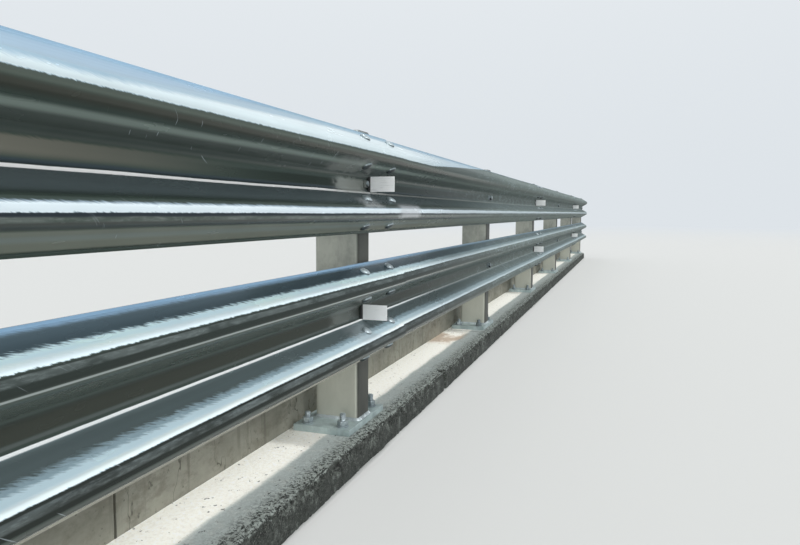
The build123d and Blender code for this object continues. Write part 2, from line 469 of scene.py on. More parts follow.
LOWER_REFLECTION_BANDS = (
    ReflectionBand(-160.0, 170.0, paint(66, 76, 70)),
    ReflectionBand(144.0, 170.0, paint(142, 176, 204), 8.0, 4.0, gloss=0.5, share=0.6),
    ReflectionBand(122.0, 146.0, paint(80, 98, 107), 12.0, 8.0, ragged=2.0),
    ReflectionBand(109.0, 126.0, paint(212, 240, 250), 2.0, 5.0, ragged=3.2, ticks=1.5, gloss=0.9, share=0.35),
    ReflectionBand(109.0, 118.0, paint(226, 242, 248), 2.0, 6.0, ragged=2.2, ticks=1.5, gloss=1.0, share=0.5),
    ReflectionBand(80.0, 107.0, paint(53, 60, 57), 4.0, 2.0, share=0.6),
    ReflectionBand(94.0, 104.5, paint(136, 146, 144), 4.0, 2.0, share=0.6, speckled=True),
    ReflectionBand(75.6, 79.0, paint(156, 164, 162), 2.0, 2.0, share=0.3),
    ReflectionBand(22.0, 62.0, paint(90, 99, 93), 10.0, 10.0, share=0.6),
    ReflectionBand(-9.0, 22.0, paint(67, 71, 65), 4.0, 6.0, share=0.6),
    ReflectionBand(-16.0, -10.0, paint(90, 97, 95), 3.0, 4.0, share=0.3),
    ReflectionBand(-50.0, -25.5, paint(126, 141, 144), 12.0, 3.0, share=0.7),
    ReflectionBand(-26.0, -21.5, paint(248, 252, 252), 2.0, 1.5, gloss=1.0, share=0.25),
    ReflectionBand(-71.0, -48.5, paint(158, 182, 193), 2.0, 6.0, ragged=3.8, gloss=0.9, share=0.35),
    ReflectionBand(-71.0, -55.5, paint(208, 233, 243), 2.0, 4.0, ragged=3.2, ticks=2.2, gloss=1.0, share=0.5),
    ReflectionBand(-71.0, -63.5, paint(232, 246, 251), 2.0, 4.0, ragged=0.8, ticks=2.2, gloss=1.0, share=0.5),
    ReflectionBand(-97.0, -71.0, paint(50, 55, 52), 2.0, 2.0, share=0.6),
    ReflectionBand(-88.0, -75.5, paint(138, 148, 148), 4.0, 2.0, share=0.6, speckled=True),
    ReflectionBand(-149.0, -100.0, paint(86, 92, 88), 2.0, 8.0, share=0.8),
    ReflectionBand(-160.0, -149.0, paint(184, 182, 170), 2.0, 1.5, share=0.7),
)


@dataclass(frozen=True)
class ReflectionPatch:
    """Pale patch of painted reflection, where the first post and its delineators are mirrored in the zinc, from
    first to last in metres along X and from low to high in millimetres of height.

    Its ends fade over fade metres and its lower and upper borders over fade_low and fade_high millimetres;
    wander and rove are how far a noise moves them, along the rail in metres and up in millimetres.
    """

    first: float
    last: float
    low: float
    high: float
    tone: Colour
    strength: float
    fade: float = 0.07
    fade_low: float = 9.0
    fade_high: float = 12.0
    wander: float = 0.10
    rove: float = 14.0

    def mask(self, rail: RailPatterns) -> Field:
        """Builds the patch's mask.

        Args:
            rail: The patterns of the tier that the patch lies on.

        Returns:
            The patch's strength inside its worn borders and 0 outside.
        """
        inside = (rail.along + rail.worn * self.wander).band(self.first, self.last, self.fade, self.fade)
        level = (rail.height + rail.worn * self.rove).band(self.low, self.high, self.fade_low, self.fade_high)
        return inside * level * self.strength


# Painted reflections round the first post of the upper rail.
UPPER_REFLECTION_PATCHES = (
    ReflectionPatch(-3.90, -3.66, -106.0, -62.0, paint(196, 200, 204), 0.7),
    ReflectionPatch(-4.24, -4.03, -28.0, 12.0, paint(156, 160, 154), 0.8),
    ReflectionPatch(-4.19, -4.05, -74.0, -46.0, paint(204, 208, 210), 0.5),
    ReflectionPatch(-4.32, -4.12, 28.0, 62.0, paint(150, 154, 150), 0.5),
)

# Painted reflections round the first post of the lower rail.
LOWER_REFLECTION_PATCHES = (
    ReflectionPatch(-4.27, -4.10, -12.0, 38.0, paint(132, 138, 134), 0.6),
    ReflectionPatch(-4.21, -4.07, -72.0, -30.0, paint(182, 192, 196), 0.45),
)


@dataclass(frozen=True)
class RailFinish:
    """Zinc coat of one tier of rails, with painted reflections on its front: light crests, dark slopes and valleys.

    The colour of the front follows the height over the rail's centre line, band by band: painted highlights and
    painted reflections with frayed borders, and pale patches painted where the first post and its delineators are
    mirrored. The bays past the first splice, from far_from to far_to, turn duller, rougher and more even: the
    painted reflections there partly give way to the zinc's own mid tone, with pale spots. The slopes that face
    down are dulled, and the back has the plain coat.
    """

    tier: Tier
    reflection_bands: tuple[ReflectionBand, ...]
    reflection_patches: tuple[ReflectionPatch, ...]
    plain: Colour = paint(158, 164, 166)
    far_tone: Colour = paint(110, 121, 118)
    far_spots: Colour = paint(176, 192, 194)
    scratched: Colour = paint(190, 200, 206)
    far_from: float = -3.6
    far_to: float = -1.4
    far_share: float = 0.55
    far_dull: float = 0.65
    far_rough: float = 0.36
    dulled: float = 0.95

    def material(self) -> bpy.types.Material:
        """Builds the finish.

        Returns:
            The material.
        """
        coat = Coat(f"{self.tier.value}_rail_zinc")
        rail = RailPatterns(coat, self.tier)
        colour: Any = self.reflection_bands[0].tone
        shine: Any = 0.0
        for reflection_band in self.reflection_bands[1:]:
            mask = reflection_band.mask(rail)
            colour = coat.blend(mask, colour, reflection_band.tone)
            if reflection_band.gloss:
                shine = (mask * reflection_band.gloss).at_least(shine)
        mottle = coat.noise((7.0, 20.0, 20.0), shift=1.0)
        lines = coat.noise((1.0, 90.0, 90.0), detail=2.0, shift=5.0)
        front_side = (0.0 - coat.facing("Y")).rise(0.0, 0.12)
        far = rail.along.rise(self.far_from, self.far_to)
        patches = [(reflection.mask(rail), reflection.tone) for reflection in self.reflection_patches]
        # Past the first splice the painted reflections are partly covered by an even mid tone, partly the zinc's own
        # and partly the duller reflections seen there, and pale spots are strewn on it.
        patches.append((far * self.far_share * (1.0 - shine * 0.7), self.far_tone))
        patches.append((far * rail.spots * (rail.strewn * 0.4 + 0.15), self.far_spots))
        colour = coat.blend(front_side, self.plain, coat.layered(colour, *patches))
        colour = coat.tinted(colour, mottle * 0.24 + lines * 0.20 + 0.80)
        scratch = coat.noise((170.0, 20.0, 20.0), detail=1.0, shift=11.0, lean=-1.4).rise(0.73, 0.77)
        sparse = coat.noise((2.2, 7.0, 7.0), detail=1.0, shift=13.0).rise(0.52, 0.62)
        coat.feed("Base Color", coat.blend(scratch * sparse * 0.5, colour, self.scratched))
        under = coat.facing("Z").rise(-0.1, -0.4) * front_side
        dull = (under * self.dulled).at_least(far * front_side * self.far_dull)
        coat.feed("Metallic", (mottle * 0.1 + 0.55 - shine * 0.45) * (1.0 - dull))
        coat.feed("Roughness", mottle * 0.10 + far * front_side * self.far_rough + 0.21)
        waves = coat.noise((2.0, 5.0, 5.0), detail=1.0, shift=17.0)
        coat.feed("Normal", coat.bump(waves, 1.6 * MM, 0.5))
        coat.feed("Specular Tint", (0.42, 0.44, 0.45, 1.0))
        coat.feed("Specular IOR Level", 0.3)
        return coat.material


@dataclass(frozen=True)
class GalvanisedFinish:
    """Dull zinc coat: a pale mottled grey with faint crystal patches, runs and dark specks; where asked, painted
    shade on the front faces and on faces turned down, and painted bounce light low on the others.
    """

    name: str
    light: Colour
    dark: Colour
    stain: Colour
    metallic: float = 0.55
    roughness: float = 0.42
    front_shade: float = 1.0
    under_shade: float = 1.0
    kerb_bounce: float = 0.0
    specular: float = 0.5
    kerb_bounce_tone: Colour = paint(204, 205, 192)

    def material(self) -> bpy.types.Material:
        """Builds the finish.

        Returns:
            The material.
        """
        coat = Coat(self.name)
        patches = coat.noise((9.0, 9.0, 5.0), detail=6.0, rough=0.66)
        crystals = coat.cells((90.0, 90.0, 60.0), output="Color")
        crystal = coat.node("ShaderNodeSeparateXYZ", {}, {0: crystals}, "X")
        runs = coat.noise((60.0, 60.0, 4.0), shift=4.0)
        colour = coat.blend(patches.rise(0.35, 0.65), self.dark, self.light)
        colour = coat.tinted(colour, crystal * 0.10 + runs * 0.16 + 0.87)
        speck = coat.noise((240.0, 240.0, 160.0), rough=0.7, shift=9.0).rise(0.66, 0.74)
        colour = coat.blend(speck * 0.6, colour, self.stain)
        front_side = (0.0 - coat.facing("Y")).rise(0.3, 0.9)
        # Painted bounce light: low on the faces not turned to the front, the colour is lightened as by light thrown
        # up from the kerb.
        if self.kerb_bounce:
            kerb_bounce_mask = (coat.along("Z") + (runs - 0.5) * 0.25).rise(0.62, 0.16)
            colour = coat.blend(kerb_bounce_mask * (1.0 - front_side) * self.kerb_bounce, colour, self.kerb_bounce_tone)
        if self.front_shade < 1.0:
            colour = coat.tinted(colour, 1.0 - front_side * (1.0 - self.front_shade))
        if self.under_shade < 1.0:
            under = coat.facing("Z").rise(0.3, -0.6)
            colour = coat.tinted(colour, 1.0 - under * (1.0 - self.under_shade))
        coat.feed("Base Color", colour)
        coat.feed("Metallic", self.metallic)
        coat.feed("Specular IOR Level", self.specular)
        coat.feed("Roughness", patches * 0.25 + (self.roughness - 0.12) + crystal * 0.05)
        peel = coat.noise((180.0, 180.0, 120.0), detail=4.0, rough=0.6, shift=2.0)
        coat.feed("Normal", coat.bump(peel + runs * 0.6, 0.5 * MM, 0.6))
        return coat.material


POST_ZINC = GalvanisedFinish(
    "post_zinc",
    light=paint(166, 169, 160),
    dark=paint(138, 142, 135),
    stain=paint(108, 106, 98),
    metallic=0.3,
    roughness=0.5,
    front_shade=0.22,
    kerb_bounce=0.7,
    specular=0.2,
)
PLATE_ZINC = GalvanisedFinish(
    "plate_zinc", light=paint(192, 208, 208), dark=paint(156, 172, 173), stain=paint(100, 112, 113), metallic=0.35
)
BOLT_ZINC = GalvanisedFinish(
    "bolt_zinc",
    light=paint(184, 196, 200),
    dark=paint(126, 138, 142),
    stain=paint(70, 76, 78),
    metallic=0.6,
    roughness=0.34,
    under_shade=0.15,
)
WELD_ZINC = GalvanisedFinish(
    "weld_zinc", light=paint(196, 206, 208), dark=paint(140, 150, 152), stain=paint(84, 92, 94)
)


@dataclass(frozen=True)
class KerbFinish:
    """Cast concrete of the kerb: a back strip painted in sunlight, a greyer top before it in the rails' shade, a
    pitted arris and a dark mottled front face, its darkness partly painted shade.

    The painted sunlit strip starts sunlit_start behind the posts' front faces, where the rails' shadow ends; earth
    lies on it round earth_middle, out to earth_half each way along X.
    """

    sunlit: Colour = paint(248, 246, 236)
    top: Colour = paint(184, 193, 190)
    arris: Colour = paint(148, 156, 149)
    face: Colour = paint(64, 69, 64)
    blotch: Colour = paint(40, 44, 40)
    pit: Colour = paint(24, 27, 24)
    chip: Colour = paint(206, 208, 200)
    earth: Colour = paint(168, 138, 108)
    sunlit_start: float = 62.0 * MM
    sunlit_before: float = 12.0 * MM
    sunlit_after: float = 8.0 * MM
    waviness: float = 30.0 * MM
    earth_middle: float = -2.45
    earth_half: float = 0.22

    def material(self) -> bpy.types.Material:
        """Builds the finish.

        Returns:
            The material.
        """
        coat = Coat("kerb_concrete")
        low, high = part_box("kerb_1")
        along, across, height = coat.along("X"), coat.along("Y"), coat.along("Z")
        upward = coat.facing("Z").rise(0.45, 0.9)
        clouds = coat.noise((5.0, 9.0, 9.0), detail=6.0, rough=0.62)
        fine = coat.noise(90.0, detail=5.0, rough=0.75, shift=2.0)
        grit = coat.noise(210.0, detail=2.0, shift=8.0)
        pale = coat.noise(30.0, detail=5.0, rough=0.7, shift=18.0).rise(0.48, 0.66)
        blotches = coat.noise((16.0, 30.0, 22.0), detail=6.0, rough=0.7, shift=4.0).rise(0.42, 0.62)
        lichen = coat.noise(26.0, detail=6.0, rough=0.74, shift=15.0).rise(0.50, 0.62)
        pits = coat.noise(150.0, rough=0.65, shift=6.0).rise(0.545, 0.62)
        hollows = coat.noise(70.0, detail=5.0, rough=0.8, shift=12.0).rise(0.525, 0.565)
        specks = coat.noise(52.0, rough=0.7, shift=1.0).rise(0.65, 0.69)
        wavy = across + (clouds - 0.5) * self.waviness
        strip = self.sunlit_start - self.sunlit_before
        soiled = 1.0 - abs(along - self.earth_middle).rise(self.earth_half * 0.4, self.earth_half)
        soiled = soiled * clouds.rise(0.38, 0.55) * wavy.rise(0.03, 0.07)
        # Painted sunlight on the back strip of the top, past the edge of the rails' shadow; the plain top tone in
        # front of it stands for the shade.
        top = coat.layered(
            self.top,
            (wavy.rise(strip, self.sunlit_start + self.sunlit_after), self.sunlit),
            (pale * 0.35 * (1.0 - wavy.rise(strip, self.sunlit_start)), self.chip),
            (wavy.rise(low.y + 0.075, low.y + 0.02) * 0.8, self.arris),
            (soiled * 0.7, self.earth),
        )
        # The front face's dark tone is partly painted shade; the face is also made darker towards the bottom.
        side = coat.layered(
            self.face,
            (blotches * 0.75, self.blotch),
            (lichen * 0.5, self.arris),
            (height.rise(high.z - 0.005, low.z + 0.01) * 0.45, self.blotch),
        )
        edge = across.rise(low.y + 0.065, low.y + 0.01) * height.rise(high.z - 0.06, high.z - 0.01)
        near_edge = edge * 0.6 + 0.4
        front = across.rise(low.y + 0.10, low.y + 0.03)
        colour = coat.layered(
            coat.blend(upward, side, top),
            (hollows.at_least(pits) * (near_edge + 0.25).at_most(1.0) * front * 0.92, self.pit),
            (grit.rise(0.58, 0.70) * near_edge * front * 0.25, self.chip),
            (specks * upward * 0.85, self.pit),
        )
        coat.feed("Base Color", coat.tinted(colour, fine * 0.8 + 0.6))
        coat.feed("Roughness", fine * 0.15 + 0.80)
        relief = fine * 0.6 + clouds * 0.3 + grit * 0.2 - pits * near_edge * front
        coat.feed("Normal", coat.bump(relief, 4.0 * MM))
        return coat.material


@dataclass(frozen=True)
class WallFinish:
    """Cast concrete of the low wall: vertical form marks, water stains, fine cracks and small blow holes."""

    light: Colour = paint(162, 161, 149)
    dark: Colour = paint(130, 130, 119)
    stain: Colour = paint(88, 86, 77)
    grime: Colour = paint(104, 101, 89)
    dirt: Colour = paint(60, 60, 52)

    def material(self) -> bpy.types.Material:
        """Builds the finish.

        Returns:
            The material.
        """
        coat = Coat("wall_concrete")
        clouds = coat.noise((3.0, 3.0, 5.0), detail=6.0, rough=0.62)
        boards = coat.noise((11.0, 11.0, 0.6), shift=3.0)
        fine = coat.noise(110.0, detail=4.0, rough=0.7, shift=8.0)
        runs = coat.noise((26.0, 26.0, 1.6), detail=5.0, rough=0.65, shift=5.0).rise(0.56, 0.72)
        holes = coat.cells(30.0, shift=4.0).rise(0.10, 0.06)
        patina = coat.noise((13.0, 13.0, 20.0), detail=6.0, rough=0.72, shift=11.0).rise(0.46, 0.66)
        smudge = coat.noise((38.0, 38.0, 30.0), detail=4.0, rough=0.65, shift=14.0).rise(0.63, 0.70)
        crack = abs(coat.noise((6.0, 6.0, 2.2), detail=4.0, rough=0.6, shift=17.0) - 0.5).rise(0.006, 0.001)
        colour = coat.blend(clouds.rise(0.3, 0.7), self.dark, self.light)
        colour = coat.layered(
            coat.tinted(colour, boards * 0.35 + fine * 0.22 + 0.74),
            (runs * 0.55, self.stain),
            (holes * 0.7, self.stain),
            (patina * 0.5, self.grime),
            (smudge * 0.6, self.dirt),
            (crack * clouds.rise(0.44, 0.54) * 0.7, self.dirt),
        )
        coat.feed("Base Color", colour)
        coat.feed("Roughness", fine * 0.12 + 0.82)
        coat.feed("Normal", coat.bump(fine * 0.4 + boards * 0.8 - holes * 0.6, 1.5 * MM, 0.6))
        return coat.material


@dataclass(frozen=True)
class ReflectorFinish:
    """White sheet of the delineators: faint creases, a paler rim, and a dark root next to the rail, painted shade in
    the gap by the rail.
    """

    tier: Tier
    creases: float
    sheet: Colour = paint(250, 252, 252)
    rim: Colour = paint(252, 253, 253)
    crease: Colour = paint(176, 180, 182)
    root: Colour = paint(22, 24, 25)
    foot: Colour = paint(84, 90, 86)
    root_end: float = -16.0 * MM
    foot_start: float = -12.0 * MM
    border: float = 2.5 * MM
    sharpness: float = 0.5 * MM

    def material(self) -> bpy.types.Material:
        """Builds the finish.

        Returns:
            The material.
        """
        coat = Coat(f"{self.tier.value}_reflector_sheet")
        low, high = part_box(f"{self.tier.value}_delineator_1")
        across, height = coat.along("Y"), coat.along("Z")
        lines = coat.noise((30.0, 22.0, 420.0), rough=0.6, shift=2.0).rise(0.56, 0.70)
        inside = height.band(low.z + self.border, high.z - self.border, MM, MM)
        inside = inside * across.rise(low.y + 2.0 * MM, low.y + 3.0 * MM)
        sheet = coat.blend(lines * self.creases, self.sheet, self.crease)
        # The dark root is painted shade where the sheet meets the rail.
        colour = coat.layered(
            coat.blend(inside, self.rim, sheet),
            (across.rise(self.root_end - self.sharpness, self.root_end + self.sharpness), self.root),
            (across.rise(self.foot_start - self.sharpness, self.foot_start + self.sharpness), self.foot),
        )
        coat.feed("Base Color", colour)
        coat.feed("Roughness", lines * 0.2 + 0.40)
        coat.feed("Normal", coat.bump(lines, 0.4 * MM, 0.5))
        return coat.material


@dataclass(frozen=True)
class RootShadowFinish:
    """Black with a dusty bloom, on the blocks that stand for the shade at the delineators' roots."""

    black: Colour = paint(20, 21, 22)
    dust: Colour = paint(52, 54, 54)

    def material(self) -> bpy.types.Material:
        """Builds the finish.

        Returns:
            The material.
        """
        coat = Coat("root_shadow_black")
        bloom = coat.noise(120.0, detail=4.0, rough=0.65)
        coat.feed("Base Color", coat.blend(bloom.rise(0.45, 0.75), self.black, self.dust))
        coat.feed("Roughness", bloom * 0.3 + 0.45)
        coat.feed("Normal", coat.bump(bloom, 0.3 * MM, 0.5))
        return coat.material


@dataclass
class Shape:
    """Triangles of closed surfaces: points is n rows of X, Y, Z and corners m rows of three point numbers."""

    points: np.ndarray
    corners: np.ndarray

    @classmethod
    def grid(cls, points: np.ndarray, wrap_rows: bool, wrap_columns: bool) -> "Shape":
        """Surface through a grid of points, each cell cut into two triangles.

        Args:
            points: Rows by columns of X, Y, Z.
            wrap_rows: Whether the last row joins the first.
            wrap_columns: Whether the last column joins the first.

        Returns:
            The surface, with poles and seams closed.
        """
        numbers = np.arange(points.shape[0] * points.shape[1]).reshape(points.shape[:2])
        if wrap_rows:
            numbers = np.vstack([numbers, numbers[:1]])
        if wrap_columns:
            numbers = np.hstack([numbers, numbers[:, :1]])
        first = np.stack([numbers[:-1, :-1], numbers[1:, :-1], numbers[1:, 1:]], -1).reshape(-1, 3)
        second = np.stack([numbers[:-1, :-1], numbers[1:, 1:], numbers[:-1, 1:]], -1).reshape(-1, 3)
        return cls(points.reshape(-1, 3), np.vstack([first, second])).welded().outward()

    @staticmethod
    def joined(shapes: list["Shape"]) -> "Shape":
        """Several shapes as one.

        Args:
            shapes: The shapes, in order.

        Returns:
            All their triangles.
        """
        starts = np.cumsum([0] + [len(shape.points) for shape in shapes[:-1]])
        corners = [shape.corners + start for shape, start in zip(shapes, starts)]
        return Shape(np.vstack([shape.points for shape in shapes]), np.vstack(corners))

    def welded(self) -> "Shape":
        """Welds points that coincide, and drops triangles that have shrunk to a line.

        Returns:
            The closed shape.
        """
        _, kept, numbers = np.unique(np.round(self.points, 7), axis=0, return_index=True, return_inverse=True)
        corners = numbers.reshape(-1)[self.corners]
        whole = (corners != np.roll(corners, 1, axis=1)).all(axis=1)
        return Shape(self.points[kept], corners[whole])

    def outward(self) -> "Shape":
        """Turns the faces outwards: the volume under the triangles is then positive.

        Returns:
            The shape, turned if need be.
        """
        one, two, three = (self.points[self.corners[:, i]] for i in range(3))
        volume = np.einsum("ij,ij->", one, np.cross(two, three))
        return Shape(self.points, self.corners[:, ::-1]) if volume < 0 else self

    def moved(self, places: list[np.ndarray]) -> "Shape":
        """Copies of the shape, one for each place.

        Args:
            places: 4 by 4 matrices.

        Returns:
            All copies as one shape.
        """
        padded = np.hstack([self.points, np.ones((len(self.points), 1))])
        points = np.einsum("kij,nj->kni", np.array(places), padded)[..., :3].reshape(-1, 3)
        starts = np.arange(len(places)) * len(self.points)
        corners = (self.corners[None] + starts[:, None, None]).reshape(-1, 3)
        return Shape(points, corners)

    def shifted(self, along: float, across: float, up: float) -> "Shape":
        """The shape moved along X, Y and Z."""
        return Shape(self.points + (along, across, up), self.corners)

    def piece(self, name: str, slot: str, material: bpy.types.Material, crease: float = 35.0) -> bpy.types.Object:
        """The shape as a finished piece of the object that rides on the frame.

        Args:
            name: The piece's name.
            slot: Not used.
            material: Its material.
            crease: Angle in degrees past which an edge stays sharp.

        Returns:
            The Blender object.
        """
        mesh = bpy.data.meshes.new(name)
        mesh.from_pydata(self.points, [], self.corners)
        mesh.shade_smooth()
        mesh.set_sharp_from_angle(angle=math.radians(crease))
        mesh.materials.append(material)
        made = bpy.data.objects.new(name, mesh)
        bpy.context.scene.collection.objects.link(made)
        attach(made, BODY)
        LOG.info("%s: %d triangles", name, len(self.corners))
        return made


def full_turn(sides: int) -> np.ndarray:
    """Angles of one turn in radians, the last a step short of the first."""
    return np.linspace(0.0, 2.0 * math.pi, sides, endpoint=False)


def round_body(radius: np.ndarray, level: np.ndarray) -> Shape:
    """Body about Z through rings of points: X is the radius times the angle's cosine, Y times its sine.

    Args:
        radius: A row of radii for each level and a column for each angle of one turn.
        level: Height of each row.

    Returns:
        The closed body.
    """
    angle = full_turn(radius.shape[1])
    z = np.broadcast_to(level[:, None], radius.shape)
    return Shape.grid(np.stack([radius * np.cos(angle), radius * np.sin(angle), z], -1), False, True)


def turned(profile: list[tuple[float, float]], sides: int) -> Shape:
    """Surface of revolution about Z: radius and height follow the profile while the angle runs round once."""
    radius, height = np.array(profile, float).T
    return round_body(np.repeat(radius[:, None], sides, axis=1), height)


def dome(radius: float, height: float, rim: float) -> Shape:
    """Button head: a short upright rim, then a crown whose radius falls as a power of the cosine.

    Args:
        radius: Radius of the rim.
        height: Height of the crown's top.
        rim: Height of the rim.

    Returns:
        The head, standing on Z = 0.
    """
    fullness = 0.8
    turn = np.linspace(0.0, math.pi / 2, CROWN_STEPS)
    crown = [(radius * math.cos(t) ** fullness, rim + (height - rim) * math.sin(t)) for t in turn]
    return turned([(0.0, 0.0), (radius, 0.0)] + crown[:-1] + [(0.0, height)], HEAD_SIDES)


def washer(radius: float, thickness: float) -> Shape:
    """Round washer with slightly eased edges, standing on Z = 0.

    Args:
        radius: Outer radius.
        thickness: Height.

    Returns:
        The washer; its hole is left out, since a bolt or stud fills it.
    """
    ease = 0.25 * thickness
    outline = [(0.0, 0.0), (radius - ease, 0.0), (radius, ease), (radius, thickness - ease)]
    return turned(outline + [(radius - ease, thickness), (0.0, thickness)], WASHER_SIDES)


def hexagon(across: float, height: float) -> Shape:
    """Hexagon nut or head: the radius is that of six flats, cut at both ends by a cone that starts at the flats.

    Args:
        across: Width across the flats.
        height: Height.

    Returns:
        The nut or head, standing on Z = 0.
    """
    steepness, rim_share = 0.55, 0.97
    flats = across / 2
    corner = flats / math.cos(math.pi / 6)
    cut = steepness * (corner - flats)
    rim = flats * rim_share
    outline = flats / np.cos(np.mod(full_turn(NUT_SIDES), math.pi / 3) - math.pi / 6)
    level = np.array([0.0, 0.0, 0.5 * cut, cut, height - cut, height - 0.5 * cut, height, height])
    inside = np.minimum(level, height - level) / cut
    cone = rim + (corner - rim) * np.clip(inside, 0.0, 1.0)
    radius = np.minimum(outline[None, :], cone[:, None])
    radius[[0, -1]] = 0.0
    return round_body(radius, level)


def thread(radius: float, length: float, pitch: float) -> Shape:
    """Threaded end: the radius dips with the distance from a helix that climbs one pitch each turn.

    Args:
        radius: Outer radius.
        length: Length, the last of it narrowed.
        pitch: Height of one turn.

    Returns:
        The end, standing on Z = 0.
    """
    steps, fewest, dip, narrowed, narrowest = 4, 6, 0.3, 0.6, 0.75
    level = np.linspace(0.0, length, max(fewest, round(steps * length / pitch)))
    phase = np.mod(level[:, None] / pitch - full_turn(THREAD_SIDES)[None, :] / (2 * math.pi), 1.0)
    ring = radius - dip * pitch * np.abs(2.0 * phase - 1.0)
    ring = ring * np.clip((length - level) / (narrowed * pitch), narrowest, 1.0)[:, None]
    ends = np.zeros((1, THREAD_SIDES))
    return round_body(np.vstack([ends, ring, ends]), np.concatenate([[0.0], level, [length]]))


def nut_on_washer(washer_radius: float, thickness: float, across: float, height: float) -> Shape:
    """Washer on Z = 0 with a nut on it, of the given width across flats and height."""
    return Shape.joined([washer(washer_radius, thickness), hexagon(across, height).shifted(0.0, 0.0, thickness)])


def slab(size: Triple, ease: float) -> Shape:
    """Small plate with eased edges, centred on X and Y: rings of a rounded outline at rising levels.

    Args:
        size: Sizes along X, Y and Z.
        ease: How far its edges are eased.

    Returns:
        The plate, standing on Z = 0.
    """
    points, _ = rounded_loop(size[0], size[1], ease * 2, side_steps=6)
    small = points * (1.0 - 2.0 * ease / np.array(size[:2]))
    rings = [small * 0.0, small, points, points, small, small * 0.0]
    levels = [0.0, 0.0, ease, size[2] - ease, size[2], size[2]]
    grid = np.stack([np.column_stack([ring, np.full(len(ring), level)]) for ring, level in zip(rings, levels)])
    return Shape.grid(grid, False, True)


def rounded_loop(width: float, depth: float, corner: float, side_steps: int) -> tuple[np.ndarray, np.ndarray]:
    """Rectangle with round corners, counter-clockwise about the origin.

    Args:
        width: Size along X.
        depth: Size along Y.
        corner: Corner radius.
        side_steps: Points on each straight side.

    Returns:
        The points and their outward normals, both n by 2.
    """
    half = np.array([width, depth]) / 2 - corner
    signs = np.array([[1, 1], [-1, 1], [-1, -1], [1, -1]])
    share = np.linspace(0.0, 1.0, side_steps + 2)[1:-1, None]
    points, normals = [], []
    for quarter in range(4):
        angle = quarter * math.pi / 2 + np.linspace(0.0, math.pi / 2, CORNER_STEPS)
        out = np.column_stack([np.cos(angle), np.sin(angle)])
        arc = half * signs[quarter] + corner * out
        following = half * signs[(quarter + 1) % 4] + corner * out[-1]
        points += [arc, arc[-1] * (1 - share) + following * share]
        normals += [out, np.repeat(out[-1:], side_steps, axis=0)]
    return np.vstack(points), np.vstack(normals)


def place(origin: Triple, axis: Triple, spin: float = 0.0) -> np.ndarray:
    """Place whose Z runs along an axis square to X, turned about it by an angle.

    Args:
        origin: Where the shape's foot goes.
        axis: Direction of its Z, with no part along X.
        spin: Turn about that axis in radians.

    Returns:
        A 4 by 4 matrix.
    """
    up = np.array(axis, float)
    up = up / np.linalg.norm(up)
    side = np.array([1.0, 0.0, 0.0])
    over = np.cross(up, side)
    across = math.cos(spin) * side + math.sin(spin) * over
    matrix = np.eye(4)
    matrix[:3, 0] = across
    matrix[:3, 1] = np.cross(up, across)
    matrix[:3, 2] = up
    matrix[:3, 3] = origin
    return matrix


@dataclass
class SpliceBolts:
    """Eight button-head bolts with washers and nuts at each lap of a tier."""

    tier: Tier
    material: bpy.types.Material
    head_radius: float = 17.0 * MM
    head_height: float = 9.0 * MM
    head_rim: float = 2.0 * MM
    washer_radius: float = 15.0 * MM
    end_length: float = 9.0 * MM
    seed: int = 11

    def places(self) -> tuple[list[np.ndarray], list[np.ndarray]]:
        """Works out where the bolts go.

        Returns:
            Places of the heads in front of the sheets, and of the washers behind them.
        """
        random = np.random.default_rng(self.seed)
        heads, backs = [], []
        for station in SPLICE_STATIONS:
            for side in (-1, 1):
                rows = ((INNER_ROW, INNER_DEPTH, -side), (OUTER_ROW, OUTER_DEPTH, side))
                for row, depth, facing in rows:
                    axis = np.array([0.0, -math.cos(SLOPE), facing * math.sin(SLOPE)])
                    for column in (-0.5, 0.5):
                        middle = np.array([station + column * SPLICE_COLUMNS, -depth, self.tier.centre + side * row])
                        front = middle + np.array([0.0, -NEST_STEP, 0.0]) + axis * SHEET / 2
                        spin = random.uniform(0.0, math.pi / 3)
                        heads.append(place(front, axis, spin))
                        backs.append(place(middle - axis * SHEET / 2, -axis, spin))
        return heads, backs

    def build(self) -> None:
        """Builds all of the tier's splice bolts as one piece."""
        heads, backs = self.places()
        head = dome(self.head_radius, self.head_height, self.head_rim)
        nut = nut_on_washer(self.washer_radius, WASHER_THICKNESS, NUT_ACROSS, NUT_HEIGHT)
        end = thread(BOLT_RADIUS, self.end_length + NUT_HEIGHT, BOLT_PITCH).shifted(0.0, 0.0, WASHER_THICKNESS)
        whole = Shape.joined([head.moved(heads), Shape.joined([nut, end]).moved(backs)])
        whole.piece(f"{self.tier.value}_splice_bolts", "fasteners", self.material)


